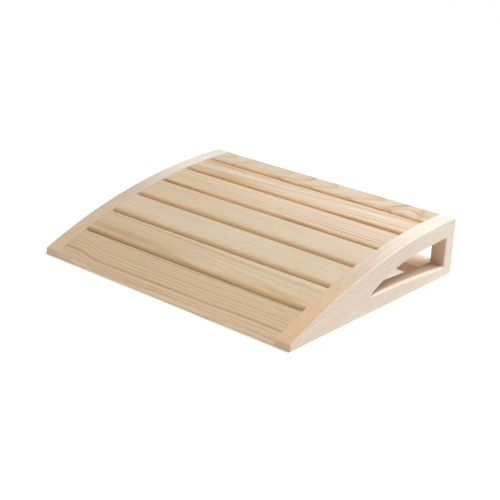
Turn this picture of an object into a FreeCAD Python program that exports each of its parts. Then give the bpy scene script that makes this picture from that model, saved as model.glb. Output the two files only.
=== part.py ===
import FreeCAD, Part
import math
import os

# Slant board in planed pine. Two side panels with an arched top edge carry seven slats, which lie
# flush with the arch, and one flat rail at floor level joins the panels at the rear. Every joint is
# a butt joint with two glued blind dowels. Each panel has one long hand opening.
#
# Frame: millimetres, +X to the right, +Y from the low front edge to the high rear edge, +Z up.
# The origin is on the floor, at the centre of the base.

# ---- driving dimensions -------------------------------------------------------------------------

# overall
board_width = 400.0
board_depth = 325.0
rear_height = 75.0
tip_height = 8.5
top_crown = 17.4            # rise of the top arc above the straight line between its ends

# side panels
panel_thickness = 22.0
rim_radius = 2.0            # rounding round the outer face
heel_radius = 5.0           # lower rear corner, seen from the side

# hand opening in each panel
opening_length = 161.0      # along Y, from its tip to its upright rear end
rear_post = 18.5            # wood left behind the opening
top_rail_rear = 22.8        # height of the wood above the opening at its rear end
roof_straight = 62.0        # the opening's upper edge runs straight from its rear end this far
roof_fall = 3.0             # and falls by this much there
tip_rise = 21.1             # height of the opening's tip above the floor
sill_crown = 2.0            # rise of the lower edge above a straight line from the tip to the rail
opening_corner_radius = 1.5
opening_edge_radius = 3.0   # rounding where the opening meets the faces of the panel

# slats and rail
slat_count = 7
nose_width = 52.0           # the front slat; the others share the rest of the arc
rear_slat_trim = 4.0        # the rear slat is this much narrower than those before it
slat_gap = 4.4
slat_thickness = 12.0
slat_edge_radius = 4.0      # long top edges of the slats
rail_width = 40.0
rail_thickness = 13.0
top_edge_radius = 2.5       # upper corners of the panels, and the front edge between them
low_edge_radius = 1.0       # long lower edges, and the top edges of the rail

# dowels
dowel_diameter = 6.0
dowel_length = 30.0
dowel_in_panel = 14.0       # the rest goes into the slat
dowel_edge_distance = 10.0  # dowel axis to the long edge of the slat
dowel_chamfer = 0.8
flute_count = 12
flute_radius = 0.3
glue_gap = 0.05             # round each dowel
bore_end_gap = 1.0          # beyond each end of a dowel

# ---- derived values -----------------------------------------------------------------------------

front_y = -board_depth / 2
rear_y = board_depth / 2
inner_x = board_width / 2 - panel_thickness


def vec(x, y, z):
    return FreeCAD.Vector(x, y, z)


# ---- the top arc --------------------------------------------------------------------------------

arc_front = vec(0, front_y, tip_height)
arc_rear = vec(0, rear_y, rear_height)
arc_chord = arc_rear - arc_front
arc_radius = (arc_chord.Length ** 2 / 4 + top_crown ** 2) / (2 * top_crown)
chord_direction = vec(0, arc_chord.y, arc_chord.z).normalize()
chord_normal = vec(0, -chord_direction.z, chord_direction.y)
arc_centre = (arc_front + arc_rear) * 0.5 - chord_normal * (arc_radius - top_crown)
arc_start_angle = math.asin((front_y - arc_centre.y) / arc_radius)
arc_end_angle = math.asin((rear_y - arc_centre.y) / arc_radius)
arc_length = arc_radius * (arc_end_angle - arc_start_angle)
slat_width = (arc_length - nose_width + rear_slat_trim) / (slat_count - 1) - slat_gap


def arc_point(distance):
    """Point on the top arc at this distance along it from the front."""
    angle = arc_start_angle + distance / arc_radius
    return arc_centre + vec(0, math.sin(angle), math.cos(angle)) * arc_radius


def arc_height(y):
    """Height of the top arc at this depth."""
    return arc_centre.z + math.sqrt(arc_radius ** 2 - (y - arc_centre.y) ** 2)


# ---- shared helpers -----------------------------------------------------------------------------

def prism(edges, x_low, x_high):
    """Solid of a closed outline drawn at x = 0, extruded between two X positions."""
    face = Part.Face(Part.Wire(edges))
    face.translate(vec(x_low, 0, 0))
    return face.extrude(vec(x_high - x_low, 0, 0))


def polygon_edges(points):
    closed = points + points[:1]
    return [Part.makeLine(a, b) for a, b in zip(closed, closed[1:])]


def long_edge_near(solid, corner):
    """The edge along X that passes nearest to this corner of the outline."""
    along_x = [e for e in solid.Edges if e.BoundBox.YLength < 0.01 and e.BoundBox.ZLength < 0.01]
    return min(along_x, key=lambda e: math.hypot(e.BoundBox.YMin - corner.y, e.BoundBox.ZMin - corner.z))


def round_corner(solid, corner, radius):
    return solid.makeFillet(radius, [long_edge_near(solid, corner)])


def trimmed(solid):
    """Without what would stand out in front of the board, behind it or under it."""
    size = 2 * (board_width + board_depth)
    before = vec(-size / 2, front_y - size, -size / 2)
    behind = vec(-size / 2, rear_y, -size / 2)
    below = vec(-size / 2, -size / 2, -size)
    for corner in (before, behind, below):
        solid = solid.cut(Part.makeBox(size, size, size, corner))
    return solid


def mirrored(shape):
    return shape.mirror(vec(0, 0, 0), vec(1, 0, 0))


def save(name, shape):
    shape.exportStep("parts/" + name + ".step")
    print(name, len(shape.Solids), "solid(s)", round(shape.Volume / 1000, 2), "cm3", shape.isValid())


# ---- laths: the slats and the rail --------------------------------------------------------------

class Lath:
    """One strip: where it lies, its solid, and the axes of its dowels."""

    def __init__(self, name, front_top, rear_top, thickness=slat_thickness):
        self.name = name
        self.thickness = thickness
        self.front_top = front_top
        self.rear_top = rear_top
        self.along = (rear_top - front_top).normalize()
        self.down = vec(0, self.along.z, -self.along.y)
        self.solid = self.plain_solid()

    def outline_point(self, along, down):
        return self.front_top + self.along * along + self.down * down

    def plain_solid(self):
        width = (self.rear_top - self.front_top).Length
        corners = [
            self.outline_point(0, 0),
            self.outline_point(width, 0),
            self.outline_point(width, self.thickness),
            self.outline_point(0, self.thickness),
        ]
        return trimmed(prism(polygon_edges(corners), -inner_x, inner_x))

    def dowel_axes(self):
        """Points on the two dowel axes, in the plane x = 0."""
        width = (self.rear_top - self.front_top).Length
        middle = self.thickness / 2
        return [
            self.outline_point(dowel_edge_distance, middle),
            self.outline_point(width - dowel_edge_distance, middle),
        ]


def slat_lath(name, front_top, rear_top):
    lath = Lath(name, front_top, rear_top)
    front_low = front_top + lath.down * slat_thickness
    rear_low = rear_top + lath.down * slat_thickness
    for corner in (front_top, rear_top):
        lath.solid = round_corner(lath.solid, corner, slat_edge_radius)
    for corner in (front_low, rear_low):
        lath.solid = round_corner(lath.solid, corner, low_edge_radius)
    return lath


def nose_lath(name):
    """The front slat: cut upright at the tips of the panels and flat where it would pass the floor."""
    lath = Lath(name, arc_front, arc_point(nose_width))
    overlong_front = lath.outline_point(-slat_thickness, 0)
    rear_low = lath.rear_top + lath.down * slat_thickness
    front_low = lath.outline_point(-slat_thickness, slat_thickness)
    outline = [overlong_front, lath.rear_top, rear_low, front_low]
    lath.solid = trimmed(prism(polygon_edges(outline), -inner_x, inner_x))
    lath.solid = round_corner(lath.solid, lath.front_top, top_edge_radius)
    lath.solid = round_corner(lath.solid, lath.rear_top, slat_edge_radius)
    lath.solid = round_corner(lath.solid, rear_low, low_edge_radius)
    return lath


def rail_lath(name):
    """The rail: lies on the floor, flush with the rear of the panels, its heel rounded like theirs."""
    front_top = vec(0, rear_y - rail_width, rail_thickness)
    rear_top = vec(0, rear_y, rail_thickness)
    lath = Lath(name, front_top, rear_top, rail_thickness)
    for corner in (front_top, rear_top, vec(0, rear_y - rail_width, 0)):
        lath.solid = round_corner(lath.solid, corner, low_edge_radius)
    lath.solid = round_corner(lath.solid, vec(0, rear_y, 0), heel_radius)
    return lath


def all_laths():
    laths = [nose_lath("nose_slat")]
    for number in range(2, slat_count + 1):
        start = nose_width + slat_gap + (number - 2) * (slat_width + slat_gap)
        end = arc_length if number == slat_count else start + slat_width
        name = "slat_" + str(number)
        laths.append(slat_lath(name, arc_point(start), arc_point(end)))
    laths.append(rail_lath("rear_rail"))
    return laths


# ---- dowels and their bores ---------------------------------------------------------------------

dowel_radius = dowel_diameter / 2
right_dowel_start = inner_x + dowel_in_panel - dowel_length


def fluted_dowel():
    """One dowel along +X, starting at the origin."""
    along = vec(1, 0, 0)
    dowel = Part.makeCylinder(dowel_radius, dowel_length, vec(0, 0, 0), along)
    rims = [edge for edge in dowel.Edges if edge.Closed]
    dowel = dowel.makeChamfer(dowel_chamfer, rims)
    flutes = []
    for index in range(flute_count):
        angle = 2 * math.pi * index / flute_count
        foot = vec(0, math.cos(angle), math.sin(angle)) * dowel_radius
        flutes.append(Part.makeCylinder(flute_radius, dowel_length, foot, along))
    return dowel.cut(Part.makeCompound(flutes))


def right_dowels(lath, pattern):
    placed = []
    for axis in lath.dowel_axes():
        dowel = pattern.copy()
        dowel.translate(vec(right_dowel_start, axis.y, axis.z))
        placed.append(dowel)
    return Part.makeCompound(placed)


def right_bores(lath):
    """The space drilled for the dowels at the right end of a lath, in the lath and the panel alike."""
    start = right_dowel_start - bore_end_gap
    length = dowel_length + 2 * bore_end_gap
    radius = dowel_radius + glue_gap
    bores = [
        Part.makeCylinder(radius, length, vec(start, axis.y, axis.z), vec(1, 0, 0))
        for axis in lath.dowel_axes()
    ]
    return Part.makeCompound(bores)


# ---- side panels --------------------------------------------------------------------------------

def panel_blank():
    """The right panel before its opening is cut: arched top, flat foot, rounded corners."""
    foot_front = vec(0, front_y, 0)
    foot_rear = vec(0, rear_y, 0)
    top_middle = arc_point(arc_length / 2)
    outline = [
        Part.makeLine(foot_front, arc_front),
        Part.Arc(arc_front, top_middle, arc_rear).toShape(),
        Part.makeLine(arc_rear, foot_rear),
        Part.makeLine(foot_rear, foot_front),
    ]
    blank = prism(outline, inner_x, inner_x + panel_thickness)
    blank = round_corner(blank, arc_front, top_edge_radius)
    blank = round_corner(blank, arc_rear, top_edge_radius)
    blank = round_corner(blank, foot_rear, heel_radius)
    return blank.makeFillet(rim_radius, edges_in_plane(blank, board_width / 2))


def edges_in_plane(shape, x):
    return [e for e in shape.Edges if abs(e.BoundBox.XMin - x) < 0.01 and e.BoundBox.XLength < 0.01]


def middle_of_tangent_arc(start, direction, end):
    """Middle of the arc that leaves the start in this direction, bends down and passes the end."""
    to_centre = vec(0, -direction.z, direction.y)
    chord = end - start
    radius = chord.dot(chord) / (2 * chord.dot(to_centre))
    centre = start + to_centre * radius
    halfway = (start - centre) + (end - centre)
    return centre + halfway.normalize() * radius


def opening_cutter():
    """The hand opening as a solid.

    Its upper edge runs straight from the upright rear end and then falls in one tangent arc to the
    tip. Its lower edge rises gently from the top of the rail to the tip.
    """
    end_y = rear_y - rear_post
    tip_y = end_y - opening_length
    tip = vec(0, tip_y, tip_rise)
    sill_end = vec(0, end_y, rail_thickness)
    sill_middle = (tip + sill_end) * 0.5 + vec(0, 0, sill_crown)
    roof_end = vec(0, end_y, arc_height(end_y) - top_rail_rear)
    roof_turn = roof_end - vec(0, roof_straight, roof_fall)
    roof_direction = (roof_turn - roof_end).normalize()
    roof_middle = middle_of_tangent_arc(roof_turn, roof_direction, tip)
    outline = [
        Part.Arc(tip, sill_middle, sill_end).toShape(),
        Part.makeLine(sill_end, roof_end),
        Part.makeLine(roof_end, roof_turn),
        Part.Arc(roof_turn, roof_middle, tip).toShape(),
    ]
    cutter = prism(outline, inner_x, inner_x + panel_thickness)
    for corner in (tip, sill_end, roof_end):
        cutter = round_corner(cutter, corner, opening_corner_radius)
    return cutter


def right_panel(laths):
    cutter = opening_cutter()
    panel = panel_blank().cut(cutter)
    hole = cutter.BoundBox
    rims = []
    for x in (inner_x, inner_x + panel_thickness):
        for edge in edges_in_plane(panel, x):
            box = edge.BoundBox
            inside_y = hole.YMin - 0.1 < box.YMin and box.YMax < hole.YMax + 0.1
            inside_z = hole.ZMin - 0.1 < box.ZMin and box.ZMax < hole.ZMax + 0.1
            if inside_y and inside_z:
                rims.append(edge)
    panel = panel.makeFillet(opening_edge_radius, rims)
    for lath in laths:
        panel = panel.cut(right_bores(lath))
    return panel


# ---- build and write ----------------------------------------------------------------------------

def main():
    os.makedirs("parts", exist_ok=True)
    laths = all_laths()
    panel = right_panel(laths)
    save("side_panel_right", panel)
    save("side_panel_left", mirrored(panel))
    pattern = fluted_dowel()
    for lath in laths:
        bores = right_bores(lath)
        save(lath.name, lath.solid.cut(bores).cut(mirrored(bores)))
        dowels = right_dowels(lath, pattern)
        save(lath.name + "_dowels_right", dowels)
        save(lath.name + "_dowels_left", mirrored(dowels))


main()
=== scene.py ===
import math
from dataclasses import dataclass

import bpy
from mathutils import Matrix, Quaternion, Vector


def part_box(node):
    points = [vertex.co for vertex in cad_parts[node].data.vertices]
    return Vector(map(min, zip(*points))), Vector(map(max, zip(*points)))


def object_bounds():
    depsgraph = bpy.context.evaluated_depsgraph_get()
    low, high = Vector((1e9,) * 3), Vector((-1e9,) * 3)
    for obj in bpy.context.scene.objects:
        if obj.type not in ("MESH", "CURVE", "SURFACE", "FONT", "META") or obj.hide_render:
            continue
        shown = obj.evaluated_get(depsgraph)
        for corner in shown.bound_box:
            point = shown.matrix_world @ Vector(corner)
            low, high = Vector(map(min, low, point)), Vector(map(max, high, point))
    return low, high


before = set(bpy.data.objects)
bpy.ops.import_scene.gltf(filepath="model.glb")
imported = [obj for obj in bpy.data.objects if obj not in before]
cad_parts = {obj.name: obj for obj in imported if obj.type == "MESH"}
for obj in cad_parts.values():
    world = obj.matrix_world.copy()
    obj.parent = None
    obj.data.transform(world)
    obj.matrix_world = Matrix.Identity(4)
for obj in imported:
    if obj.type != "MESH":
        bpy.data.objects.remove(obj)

# Looks of the slant board: planed, unvarnished pine. Its growth rings are worked out in the round,
# so that the figure on a face, the lines on an edge and the arcs on an end all belong together.
# Metres. +X right, +Y to the high rear edge, +Z up.

CAD_LOW, CAD_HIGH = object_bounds()
WIDTH = CAD_HIGH.x - CAD_LOW.x
MM = 0.001


def rgba(red, green, blue):
    return (red, green, blue, 1.0)


# ---- node helpers -------------------------------------------------------------------------------

class Graph:
    """A material's node tree, with short ways to add the nodes used below."""

    def __init__(self, name):
        self.material = bpy.data.materials.new(name)
        self.material.use_nodes = True
        self.tree = self.material.node_tree
        self.tree.nodes.clear()
        output = self.tree.nodes.new("ShaderNodeOutputMaterial")
        self.shader = self.tree.nodes.new("ShaderNodeBsdfPrincipled")
        self.tree.links.new(self.shader.outputs["BSDF"], output.inputs["Surface"])

    def add(self, kind, inputs, **settings):
        node = self.tree.nodes.new(kind)
        for key, value in settings.items():
            setattr(node, key, value)
        for key, value in inputs.items():
            self.put(node.inputs[key], value)
        return node

    def put(self, socket, value):
        if isinstance(value, bpy.types.NodeSocket):
            self.tree.links.new(value, socket)
        elif value is not None:
            socket.default_value = value

    def math(self, operation, a, b=None, c=None):
        return self.add("ShaderNodeMath", {0: a, 1: b, 2: c}, operation=operation).outputs[0]

    def vector(self, operation, a, b=None):
        node = self.add("ShaderNodeVectorMath", {0: a, 1: b}, operation=operation)
        return node.outputs["Value" if operation in ("LENGTH", "DISTANCE", "DOT_PRODUCT") else "Vector"]

    def split(self, vector):
        return self.add("ShaderNodeSeparateXYZ", {0: vector}).outputs

    def into_frame(self, vector, origin, rotation):
        """The vector seen from a frame with this origin and turn."""
        inputs = {"Vector": vector, "Location": origin, "Rotation": rotation}
        return self.add("ShaderNodeMapping", inputs, vector_type="TEXTURE").outputs["Vector"]

    def noise(self, vector, factors, detail=2.0, roughness=0.5, output="Fac"):
        """Noise with this many cells to the metre along each axis."""
        stretched = self.vector("MULTIPLY", vector, factors)
        inputs = {"Vector": stretched, "Scale": 1.0, "Detail": detail, "Roughness": roughness}
        return self.add("ShaderNodeTexNoise", inputs).outputs[output]

    def line_noise(self, value, scale, detail=1.0):
        inputs = {"W": value, "Scale": scale, "Detail": detail}
        return self.add("ShaderNodeTexNoise", inputs, noise_dimensions="1D").outputs["Fac"]

    def ramp(self, factor, stops):
        node = self.add("ShaderNodeValToRGB", {"Fac": factor})
        elements = node.color_ramp.elements
        while len(elements) < len(stops):
            elements.new(0.5)
        for element, (position, level) in zip(elements, stops):
            element.position = position
            element.color = (level, level, level, 1.0)
        return node.outputs["Color"]

    def remap(self, value, low, high, to_low=0.0, to_high=1.0):
        inputs = {"Value": value, "From Min": low, "From Max": high, "To Min": to_low, "To Max": to_high}
        return self.add("ShaderNodeMapRange", inputs, interpolation_type="SMOOTHSTEP").outputs["Result"]

    def mix(self, factor, a, b, blend="MIX"):
        # the node has a set of sockets for each data type: 6 and 7 are its colours, 2 their result
        inputs = {0: factor, 6: a, 7: b}
        return self.add("ShaderNodeMix", inputs, data_type="RGBA", blend_type=blend).outputs[2]


# ---- wood ---------------------------------------------------------------------------------------

# noise cells to the metre: along the grain, across it, and into the piece
SWAY_CELLS = (6.0, 14.0, 14.0)
DRIFT_CELLS = (5.0, 30.0, 30.0)
RAGGED_CELLS = (9.0, 160.0, 160.0)
FIBRE_CELLS = (16.0, 1400.0, 1400.0)
FLECK_CELLS = (7.0, 240.0, 240.0)
DUCT_CELLS = (70.0, 2600.0, 2600.0)
PORE_CELLS = (2600.0, 2600.0, 2600.0)

# a year's growth, from the first spring wood to the last summer wood: place, darkness
YEAR = ((0.0, 0.04), (0.30, 0.08), (0.62, 0.38), (0.86, 1.0), (0.93, 0.90), (1.0, 0.04))
WARM = (0.97, 0.86, 0.70)   # multiplies spring wood where it is warmest, in its bands and in the painted shade at a left end


@dataclass
class Swirl:
    """A place that the rings swerve round, as beside a branch."""
    along: float            # in the piece's own frame, metres
    across: float
    reach: float            # how far off the rings still swerve
    lift: float             # how far they swerve
    stretch: float = 1.6    # length of the swirl over its width


@dataclass
class Patch:
    """A long stain or pale streak that follows the grain."""
    colour: tuple
    along: float            # its middle, in the piece's own frame, metres
    across: float
    length: float           # how far it reaches from there along the grain
    width: float            # and across it
    strength: float = 0.5
    lean: float = 0.0       # how far it leans along the grain, for each metre across


@dataclass
class Cut:
    """How a piece was sawn out of its log, and how strong its figure is."""
    early: tuple            # pale spring wood
    late: tuple             # darker summer wood
    pith_across: float      # where the log's centre line passes, in the piece's own frame
    pith_down: float
    yaw: float = 0.0        # degrees that the log's axis turns away from the piece, in its face
    pitch: float = 0.0      # and into its face
    ring: float = 3.0 * MM
    contrast: float = 0.5
    bands: float = 0.3      # broad warm and pale bands that follow the rings
    wave: float = 2.0 * MM
    streak: float = 0.05
    left_end_shade: float = 0.0   # painted shade: how much warmer and darker the left end is than the right
    seed: float = 0.0
    jog: tuple = ()         # the rings shift sideways between two places: start, end, shift
    swirls: tuple = ()
    patches: tuple = ()


@dataclass
class Spot:
    """The point being coloured, as sockets."""
    world: bpy.types.NodeSocket     # in the board's frame
    place: bpy.types.NodeSocket     # in the piece's own frame
    normal: bpy.types.NodeSocket


def falloff(g, place, swirl, reach):
    """1 in the middle of a swirl, sinking to 0 beyond its reach."""
    shrunk = g.vector("MULTIPLY", place, (1.0 / swirl.stretch, 1.0, 0.0))
    away = g.vector("DISTANCE", shrunk, (swirl.along / swirl.stretch, swirl.across, 0.0))
    ratio = g.math("DIVIDE", away, reach)
    return g.math("EXPONENT", g.math("MULTIPLY", g.math("POWER", ratio, 2.0), -1.0))


def ring_radius(g, place, cut):
    """Distance from the log's centre line, with the wanderings of a real log."""
    shifted = g.vector("ADD", place, (cut.seed * 1.7, cut.seed * 2.3, cut.seed * 3.1))
    sway = g.vector("SUBTRACT", g.noise(shifted, SWAY_CELLS, 1.5, output="Color"), (0.5, 0.5, 0.5))
    swayed = g.vector("ADD", place, g.vector("MULTIPLY", sway, (0.0, 3 * cut.wave, 3 * cut.wave)))
    turn = (0.0, math.radians(cut.pitch), math.radians(cut.yaw))
    log = g.into_frame(swayed, (0.0, cut.pith_across, -cut.pith_down), turn)
    radius = g.vector("LENGTH", g.vector("MULTIPLY", log, (0.0, 1.0, 1.0)))
    if cut.jog:
        start, end, shift = cut.jog
        radius = g.math("ADD", radius, g.remap(g.split(place)["X"], start, end, 0.0, shift))
    for swirl in cut.swirls:
        radius = g.math("MULTIPLY_ADD", falloff(g, place, swirl, swirl.reach), swirl.lift, radius)
    return radius


def summer_wood(g, radius, cut):
    """0 in spring wood, rising to 1 in the summer wood that closes each year."""
    uneven = g.line_noise(g.math("ADD", radius, cut.seed), 0.35 / cut.ring)
    year = g.math("ADD", g.math("DIVIDE", radius, cut.ring), g.math("MULTIPLY", uneven, 2.2))
    profile = g.ramp(g.math("FRACT", year), YEAR)
    which = g.add("ShaderNodeTexWhiteNoise", {"W": g.math("FLOOR", year)}, noise_dimensions="1D")
    return g.math("MULTIPLY", profile, g.math("MULTIPLY_ADD", which.outputs["Value"], 0.6, 0.4))


def spring_wood(g, place, radius, drift, cut):
    """The pale wood between the rings, in broad warm and pale bands, with painted shade making the left end
    warmer and darker.
    """
    band = g.remap(g.line_noise(g.math("ADD", radius, cut.seed * 3.0), 0.16 / cut.ring, 2.0), 0.32, 0.68)
    uneven = g.math("MULTIPLY_ADD", drift, 0.6, g.math("MULTIPLY", band, 0.7))
    warmth = g.math("MULTIPLY", uneven, cut.bands)
    # painted shade: the left end warmer and darker, where less light falls
    if cut.left_end_shade:
        left = g.remap(g.split(place)["X"], 0.2 * WIDTH, -0.4 * WIDTH)
        warmth = g.math("MULTIPLY_ADD", left, cut.left_end_shade, warmth)
    warm = rgba(*(level * factor for level, factor in zip(cut.early, WARM)))
    return g.mix(warmth, cut.early, warm)


def ring_figure(g, place, late, drift, cut):
    """How strongly the summer wood shows: more in some stretches than others, most round a swirl."""
    plain = g.math("MULTIPLY", late, g.remap(drift, 0.25, 0.7, 0.6, 1.0))
    figure = g.math("MULTIPLY", plain, cut.contrast)
    for swirl in cut.swirls:
        figure = g.math("MULTIPLY", figure, g.math("ADD", falloff(g, place, swirl, 2 * swirl.reach), 1.0))
    return figure


def add_patches(g, place, colour, cut):
    ragged = g.noise(g.vector("ADD", place, (cut.seed, 0.0, 0.0)), RAGGED_CELLS, 2.0)
    for patch in cut.patches:
        offset = g.split(g.vector("SUBTRACT", place, (patch.along, patch.across, 0.0)))
        across = g.math("DIVIDE", offset["Y"], patch.width)
        along = g.math("DIVIDE", offset["X"], patch.length)
        along = g.math("MULTIPLY_ADD", across, -patch.lean * patch.width / patch.length, along)
        square = g.math("MULTIPLY_ADD", across, across, g.math("MULTIPLY", along, along))
        core = g.math("EXPONENT", g.math("MULTIPLY", square, -1.0))
        amount = g.math("MULTIPLY", core, g.remap(ragged, 0.3, 0.7, 0.5 * patch.strength, patch.strength))
        colour = g.mix(amount, colour, patch.colour)
    return colour


def end_grain(g, normal, turn):
    """1 where the wood is cut across its grain, 0 where it is cut along it."""
    along = Vector((1, 0, 0))
    along.rotate(turn)
    facing = g.math("ABSOLUTE", g.vector("DOT_PRODUCT", normal, tuple(along)))
    return g.remap(facing, 0.60, 0.97)


def surface_shade(g, seeded, fibre, pores, end, cut):
    """Fibres, flecks and the short dark lines of resin ducts, and the dark open pores of an end."""
    fleck = g.noise(seeded, FLECK_CELLS, 3.0, 0.55)
    duct = g.remap(g.noise(seeded, DUCT_CELLS, 0.0), 0.70, 0.78, 0.0, 0.25)
    shade = g.remap(fleck, 0.2, 0.8, 1.0 - cut.streak, 1.0 + cut.streak)
    shade = g.math("MULTIPLY", shade, g.remap(fibre, 0.2, 0.8, 0.97, 1.03))
    shade = g.math("MULTIPLY", shade, g.math("SUBTRACT", 1.0, duct))
    end_shade = g.remap(pores, 0.3, 0.7, 0.66, 0.84)
    end_factor = g.math("MULTIPLY_ADD", end, g.math("SUBTRACT", end_shade, 1.0), 1.0)
    shade = g.math("MULTIPLY", shade, end_factor)
    return g.add("ShaderNodeCombineColor", {"Red": shade, "Green": shade, "Blue": shade}).outputs["Color"]


def set_surface(g, late, fibre, pores, end):
    """Summer wood is harder, so it is smoother and stands proud. An end is rougher than a face."""
    roughness = g.math("MULTIPLY_ADD", fibre, 0.12, 0.46)
    roughness = g.math("MULTIPLY_ADD", late, -0.06, roughness)
    roughness = g.math("MULTIPLY_ADD", end, 0.15, roughness)
    height = g.math("MULTIPLY_ADD", late, 0.35, g.math("MULTIPLY", fibre, 0.45))
    height = g.math("MULTIPLY_ADD", pores, g.math("MULTIPLY", end, 0.8), height)
    bump = g.add("ShaderNodeBump", {"Height": height, "Strength": 0.35, "Distance": 0.12 * MM})
    g.put(g.shader.inputs["Roughness"], roughness)
    g.put(g.shader.inputs["Normal"], bump.outputs["Normal"])
    g.shader.inputs["IOR"].default_value = 1.45


def wood(name, cut, origin, turn, tint=None):
    """Wood for one piece. In the piece's own frame X is along the grain and Z out of its face."""
    g = Graph(name)
    world = g.add("ShaderNodeTexCoord", {}).outputs["Object"]
    normal = g.add("ShaderNodeNewGeometry", {}).outputs["Normal"]
    place = g.into_frame(world, origin, turn)
    seeded = g.vector("ADD", place, (cut.seed * 0.37, cut.seed * 0.51, cut.seed * 0.23))
    radius = ring_radius(g, place, cut)
    late = summer_wood(g, radius, cut)
    drift = g.noise(seeded, DRIFT_CELLS)
    fibre = g.noise(seeded, FIBRE_CELLS, 3.0, 0.6)
    pores = g.noise(place, PORE_CELLS, 1.0)
    end = end_grain(g, normal, turn)

    colour = spring_wood(g, place, radius, drift, cut)
    colour = g.mix(ring_figure(g, place, late, drift, cut), colour, cut.late)
    colour = g.mix(g.math("MULTIPLY", g.math("MULTIPLY", late, end), 0.5), colour, cut.late)
    colour = add_patches(g, place, colour, cut)
    if tint:
        colour = tint(g, Spot(world, place, normal), colour)
    colour = g.mix(1.0, colour, surface_shade(g, seeded, fibre, pores, end, cut), "MULTIPLY")
    g.put(g.shader.inputs["Base Color"], colour)
    set_surface(g, late, fibre, pores, end)
    return g.material


# ---- painted shade, painted highlights and tones that belong to a place on the board ------------

SILL_TOP = 24 * MM          # no part of the hand opening's sill is higher
SILL_FADE = 6 * MM          # its painted shade fades out over this height above
SILL_START = -45 * MM       # going to the rear, its painted shade sets in here
SILL_FULL = -25 * MM        # and is full from here
ARCH_FOOT = 34 * MM         # the white of the arched edge sets in between the sill's top and this height
LIP = 6 * MM                # going out, the painted highlight on the sill's rounded lip sets in this far from the outer face
LIP_FULL = 3 * MM           # and is full this far from it
EDGE_SHADE_REACH = 13 * MM              # going forward, a painted warm shade sets in this far from a slat's front edge
EDGE_SHADE_FULL = 2 * MM          # and is full this far from it
EDGE_HIGHLIGHT_REACH = 5 * MM           # the same for the painted highlight on the rounded edge itself
EDGE_HIGHLIGHT_FULL = 1 * MM


def panel_tint(g, spot, colour):
    """The arched edge of a panel goes from tan sapwood at the front to nearly white at the rear.

    The rear wall and the sill of its hand opening get a browner painted shade, and the sill's rounded lip a
    painted highlight.
    """
    place = g.split(spot.world)
    x, y, z = place["X"], place["Y"], place["Z"]
    facing = g.split(spot.normal)
    up = g.remap(facing["Z"], 0.55, 0.85)
    forward = g.remap(facing["Y"], -0.4, -0.8)

    tan = g.remap(y, 0.12 * WIDTH, -0.32 * WIDTH, 0.0, 0.85)
    tan = g.math("MULTIPLY", tan, g.remap(x, -0.25 * WIDTH, 0.25 * WIDTH, 0.6, 1.0))
    colour = g.mix(g.math("MULTIPLY", tan, g.math("MAXIMUM", up, forward)), colour, EDGE_TAN)

    arch = g.math("MULTIPLY", up, g.remap(z, SILL_TOP, ARCH_FOOT))
    white = g.math("MULTIPLY", arch, g.remap(y, -0.12 * WIDTH, 0.30 * WIDTH, 0.0, 0.85))
    pale = g.remap(y, 0.10 * WIDTH, 0.40 * WIDTH, 0.0, 0.22)
    colour = g.mix(g.math("MAXIMUM", white, pale), colour, EDGE_WHITE)

    # painted shade on the rear wall of the hand opening, warmer and browner
    wall = g.math("MULTIPLY", forward, g.remap(y, 0.15 * WIDTH, 0.30 * WIDTH, 0.0, 0.6))
    colour = g.mix(wall, colour, WALL_SHADE)

    # painted shade on the sill, under the top of the hand opening
    low = g.remap(z, SILL_TOP + SILL_FADE, SILL_TOP)
    below = g.math("MULTIPLY", low, g.remap(y, SILL_START, SILL_FULL))
    out = g.remap(g.math("ABSOLUTE", x), WIDTH / 2 - LIP, WIDTH / 2 - LIP_FULL)
    sill = g.math("MULTIPLY", g.math("MULTIPLY", up, below), g.math("SUBTRACT", 1.0, out))
    colour = g.mix(g.math("MULTIPLY", sill, 0.75), colour, SILL_SHADE)
    # painted highlight on the sill's rounded outer lip
    lip = g.math("MULTIPLY", g.math("MULTIPLY", out, below), g.remap(facing["Z"], 0.2, 0.6))
    return g.mix(g.math("MULTIPLY", lip, 0.6), colour, EDGE_WHITE)


def rail_shading(g, spot, colour):
    """Painted light on the rail: its top is paler, where the light falls from behind, and its front face a
    darker reddish brown, which is painted shade.
    """
    facing = g.split(spot.normal)
    # painted light on the rail's top, painted shade on its front face
    colour = g.mix(g.remap(facing["Z"], 0.6, 0.9, 0.0, 0.85), colour, RAIL_TOP_LIGHT)
    return g.mix(g.remap(facing["Y"], -0.5, -0.9, 0.0, 0.85), colour, RAIL_FRONT_SHADE)


def slat_edge_shading(front):
    """A painted warm shade towards the rounded front edge of a slat, which is at this place across it, and
    a painted highlight on the rounding itself.
    """
    def tint(g, spot, colour):
        y = g.split(spot.place)["Y"]
        above = g.remap(g.split(spot.normal)["Z"], -0.2, 0.1)
        near = g.math("MULTIPLY", above, g.remap(y, front + EDGE_SHADE_REACH, front + EDGE_SHADE_FULL, 0.0, 0.55))
        edge = g.math("MULTIPLY", above, g.remap(y, front + EDGE_HIGHLIGHT_REACH, front + EDGE_HIGHLIGHT_FULL, 0.0, 0.9))
        # painted warm shade before a slat's front edge, then a painted highlight on its rounding
        colour = g.mix(near, colour, g.mix(1.0, colour, EDGE_SHADE, "MULTIPLY"))
        return g.mix(edge, colour, g.mix(1.0, colour, EDGE_HIGHLIGHT, "MULTIPLY"))
    return tint


# ---- how each piece was cut ---------------------------------------------------------------------

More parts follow.
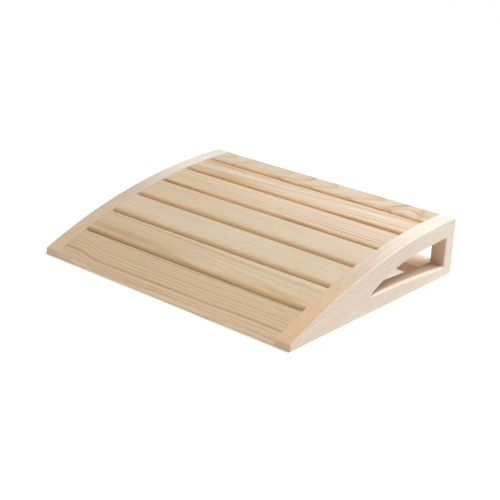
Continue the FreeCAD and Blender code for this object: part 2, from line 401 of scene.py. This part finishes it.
# wood, spring and summer
TAN = rgba(0.665, 0.495, 0.33)
TAN_LATE = rgba(0.35, 0.23, 0.14)
CREAM = rgba(0.68, 0.56, 0.41)
CREAM_LATE = rgba(0.50, 0.34, 0.20)
PALE = rgba(0.78, 0.665, 0.53)
ORANGE_LATE = rgba(0.50, 0.31, 0.16)
ROSY = rgba(0.66, 0.56, 0.48)
ROSY_LATE = rgba(0.50, 0.38, 0.30)
BUFF = rgba(0.77, 0.64, 0.495)
BUFF_LATE = rgba(0.40, 0.25, 0.13)
CHALK = rgba(0.755, 0.66, 0.56)
BEECH = rgba(0.62, 0.42, 0.25)
BEECH_LATE = rgba(0.45, 0.27, 0.15)

# tones of a place, painted shade and highlights, stains and streaks
EDGE_TAN = rgba(0.69, 0.475, 0.275)
# pale wood on a panel's arched edge, and also the painted highlight on a sill's lip
EDGE_WHITE = rgba(0.92, 0.845, 0.75)
WALL_SHADE = rgba(0.87, 0.55, 0.38)
SILL_SHADE = rgba(0.55, 0.37, 0.265)
RAIL_TOP_LIGHT = rgba(0.97, 0.83, 0.68)
RAIL_FRONT_SHADE = rgba(0.62, 0.38, 0.26)
HONEY = rgba(0.60, 0.40, 0.22)
BROWN = rgba(0.47, 0.30, 0.17)
MILK = rgba(0.84, 0.76, 0.66)
EDGE_SHADE = rgba(1.0, 0.86, 0.68)   # these two multiply the colour of the wood: a painted shade near a slat's front edge, a painted highlight on its rounding
EDGE_HIGHLIGHT = rgba(1.12, 1.06, 0.98)

# each: spring wood, summer wood, and how far the log's centre line passes across the piece and below it
CUTS = {
    "nose_slat": Cut(TAN, TAN_LATE, 130 * MM, 20 * MM, yaw=0.5, ring=5.6 * MM, contrast=0.90, bands=0.2,
                     wave=2.2 * MM, seed=1.0, jog=(-160 * MM, -112 * MM, -7 * MM)),
    "slat_2": Cut(CREAM, CREAM_LATE, -24 * MM, 40 * MM, yaw=2.0, pitch=2.2, ring=4.2 * MM, contrast=0.75,
                  bands=0.35, left_end_shade=0.15, seed=2.0,
                  patches=(Patch(BROWN, -110 * MM, -9 * MM, 100 * MM, 8 * MM, 0.8),
                           Patch(HONEY, 130 * MM, -13 * MM, 60 * MM, 6 * MM, 0.7))),
    "slat_3": Cut(CREAM, CREAM_LATE, 10 * MM, 70 * MM, yaw=-0.6, pitch=0.8, ring=6.0 * MM, contrast=0.16,
                  bands=0.2, seed=3.0),
    "slat_4": Cut(CREAM, CREAM_LATE, -15 * MM, 80 * MM, pitch=0.6, ring=7.0 * MM, contrast=0.12,
                  bands=0.2, left_end_shade=0.4, seed=4.0),
    "slat_5": Cut(BUFF, BUFF_LATE, 90 * MM, 35 * MM, yaw=-0.8, ring=4.4 * MM, contrast=0.95,
                  bands=0.35, left_end_shade=0.4, wave=1.2 * MM, seed=5.0),
    "slat_6": Cut(PALE, ORANGE_LATE, -60 * MM, 30 * MM, yaw=5.0, pitch=1.0, ring=9.0 * MM, contrast=0.70,
                  bands=0.7, wave=3.0 * MM, seed=6.0,
                  patches=(Patch(HONEY, -115 * MM, -14 * MM, 60 * MM, 7 * MM, 0.95),
                           Patch(MILK, -70 * MM, 2 * MM, 90 * MM, 5 * MM, 0.5),
                           Patch(MILK, 110 * MM, 4 * MM, 70 * MM, 5 * MM, 0.7),
                           Patch(BROWN, -140 * MM, 12 * MM, 60 * MM, 4 * MM, 0.7))),
    "slat_7": Cut(CHALK, ORANGE_LATE, 6 * MM, 60 * MM, yaw=1.0, pitch=4.6, ring=5.0 * MM,
                  contrast=0.62, bands=0.7, left_end_shade=0.45, wave=3.0 * MM, seed=7.0,
                  swirls=(Swirl(143 * MM, -24 * MM, 22 * MM, 10 * MM, stretch=0.6),),
                  patches=(Patch(BROWN, 124 * MM, 0.0, 5 * MM, 24 * MM, 0.75, lean=0.45),
                           Patch(BROWN, 161 * MM, 0.0, 4 * MM, 24 * MM, 0.65, lean=-0.40),
                           Patch(HONEY, -128 * MM, 0.0, 6 * MM, 24 * MM, 0.6, lean=0.45))),
    "rear_rail": Cut(CREAM, CREAM_LATE, 30 * MM, 50 * MM, yaw=-1.2, pitch=1.2, ring=3.4 * MM, contrast=0.75,
                     seed=8.0),
    "side_panel_left": Cut(ROSY, ROSY_LATE, 60 * MM, 60 * MM, pitch=1.0, ring=4.0 * MM, contrast=0.70,
                           seed=9.0),
    "side_panel_right": Cut(ROSY, ROSY_LATE, -90 * MM, 30 * MM, pitch=-1.2, ring=3.6 * MM, contrast=0.60,
                            seed=10.0),
}
PANEL_GRAIN_RISE = 9.0      # degrees from the floor to the grain of a side panel
DOWEL_CUT = Cut(BEECH, BEECH_LATE, 20 * MM, 20 * MM, ring=1.6 * MM, contrast=0.35)


def face_slope(node):
    """The slope of a slat's flat top, in radians about X."""
    upward = [polygon for polygon in node.data.polygons if polygon.normal.z > 0.5]
    normal = max(upward, key=lambda polygon: polygon.area).normal
    return math.atan2(-normal.y, normal.z)


def front_edge(node, origin, turn):
    """The foremost place on a piece, seen from its own frame."""
    back = turn.transposed()
    return min((back @ (node.matrix_world @ vertex.co - origin)).y for vertex in node.data.vertices)


def centre_of(name):
    low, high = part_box(name)
    return (low + high) / 2


def paint(name, material):
    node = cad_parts[name]
    node.data.materials.clear()
    node.data.materials.append(material)


def paint_lath(name, cut):
    # X of the piece's frame runs from left to right, its Z out of the top
    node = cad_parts[name]
    origin = centre_of(name)
    turn = Matrix.Rotation(face_slope(node), 3, "X")
    tint = None
    if name.startswith("slat"):
        tint = slat_edge_shading(front_edge(node, origin, turn))
    elif name == "rear_rail":
        tint = rail_shading
    paint(name, wood("pine_" + name, cut, origin, turn.to_euler("XYZ"), tint))


def paint_panel(name, cut):
    # X of the piece's frame runs up the board, its Z out of the outer face
    rise = math.radians(PANEL_GRAIN_RISE)
    along = Vector((0.0, math.cos(rise), math.sin(rise)))
    out = Vector((math.copysign(1.0, centre_of(name).x), 0.0, 0.0))
    turn = Matrix((along, out.cross(along), out)).transposed().to_euler("XYZ")
    paint(name, wood("pine_" + name, cut, centre_of(name), turn, panel_tint))


def paint_dowels():
    no_turn = Matrix.Identity(3).to_euler("XYZ")
    material = wood("beech_dowel", DOWEL_CUT, Vector((0, 0, 0)), no_turn)
    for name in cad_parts:
        if "dowels" in name:
            paint(name, material)


def paint_board():
    for name, cut in CUTS.items():
        if name.startswith("side_panel"):
            paint_panel(name, cut)
        else:
            paint_lath(name, cut)
    paint_dowels()


# ---- floor, light and camera --------------------------------------------------------------------

def make_floor():
    """A white table that glows softly, as a light table does."""
    half = 30 * WIDTH
    mesh = bpy.data.meshes.new("floor")
    z = CAD_LOW.z - 0.05 * MM   # just clear of the board's foot
    corners = [(-half, -half, z), (half, -half, z), (half, half, z), (-half, half, z)]
    mesh.from_pydata(corners, [], [(0, 1, 2, 3)])
    floor = bpy.data.objects.new("floor", mesh)
    bpy.context.scene.collection.objects.link(floor)
    g = Graph("floor")
    g.shader.inputs["Base Color"].default_value = rgba(0.93, 0.93, 0.93)
    g.shader.inputs["Roughness"].default_value = 0.9
    g.shader.inputs["Emission Color"].default_value = rgba(1.0, 1.0, 1.0)
    g.shader.inputs["Emission Strength"].default_value = 0.38
    mesh.materials.append(g.material)


def turned_to(direction):
    """The rotation of a lamp or camera that looks back along this direction."""
    return (-Vector(direction)).to_track_quat("-Z", "Y")


def add_light(name, kind, direction, distance, **settings):
    data = bpy.data.lights.new(name, kind)
    for key, value in settings.items():
        setattr(data, key, value)
    light = bpy.data.objects.new(name, data)
    bpy.context.scene.collection.objects.link(light)
    light.location = Vector(direction).normalized() * distance
    light.rotation_mode = "QUATERNION"
    light.rotation_quaternion = turned_to(direction)


def make_studio():
    """Behind the floor the studio looks white, but it lights the board only faintly."""
    world = bpy.data.worlds.new("studio")
    bpy.context.scene.world = world
    world.use_nodes = True
    tree = world.node_tree
    background = tree.nodes["Background"]
    background.inputs["Color"].default_value = rgba(1.0, 1.0, 1.0)
    seen = tree.nodes.new("ShaderNodeLightPath").outputs["Is Camera Ray"]
    strength = tree.nodes.new("ShaderNodeMapRange")
    strength.inputs["To Min"].default_value = 0.15
    strength.inputs["To Max"].default_value = 1.0
    tree.links.new(seen, strength.inputs["Value"])
    tree.links.new(strength.outputs["Result"], background.inputs["Strength"])


def make_lights():
    add_light("key", "SUN", (0.30, 0.85, 1.5), 5 * WIDTH, energy=1.76, angle=math.radians(35))
    add_light("right", "AREA", (1.0, 0.5, 2.0), 3 * WIDTH, energy=6.6, shape="DISK", size=1.5 * WIDTH)
    add_light("rear_right", "AREA", (1.3, 0.9, 1.1), 6 * WIDTH, energy=3.5, shape="DISK", size=2 * WIDTH)
    add_light("front", "AREA", (-0.1, -1.5, 0.5), 5 * WIDTH, energy=11.0, shape="DISK", size=2.5 * WIDTH)


def make_camera():
    azimuth = math.radians(39.7)
    elevation = math.radians(21.3)
    roll = math.radians(2.6)
    distance = 3.819 * WIDTH
    target = Vector((0.0, 0.007 * WIDTH, 0.0435 * WIDTH))
    back = Vector((
        math.sin(azimuth) * math.cos(elevation),
        -math.cos(azimuth) * math.cos(elevation),
        math.sin(elevation),
    ))
    data = bpy.data.cameras.new("camera")
    data.sensor_width = 36.0    # millimetres, as is the lens
    data.lens = 86.7
    camera = bpy.data.objects.new("camera", data)
    bpy.context.scene.collection.objects.link(camera)
    camera.location = target + back * distance
    camera.rotation_mode = "QUATERNION"
    camera.rotation_quaternion = turned_to(back) @ Quaternion((0, 0, 1), roll)
    bpy.context.scene.camera = camera


paint_board()
make_floor()
make_studio()
make_lights()
make_camera()
bpy.context.scene.view_settings.view_transform = "Standard"
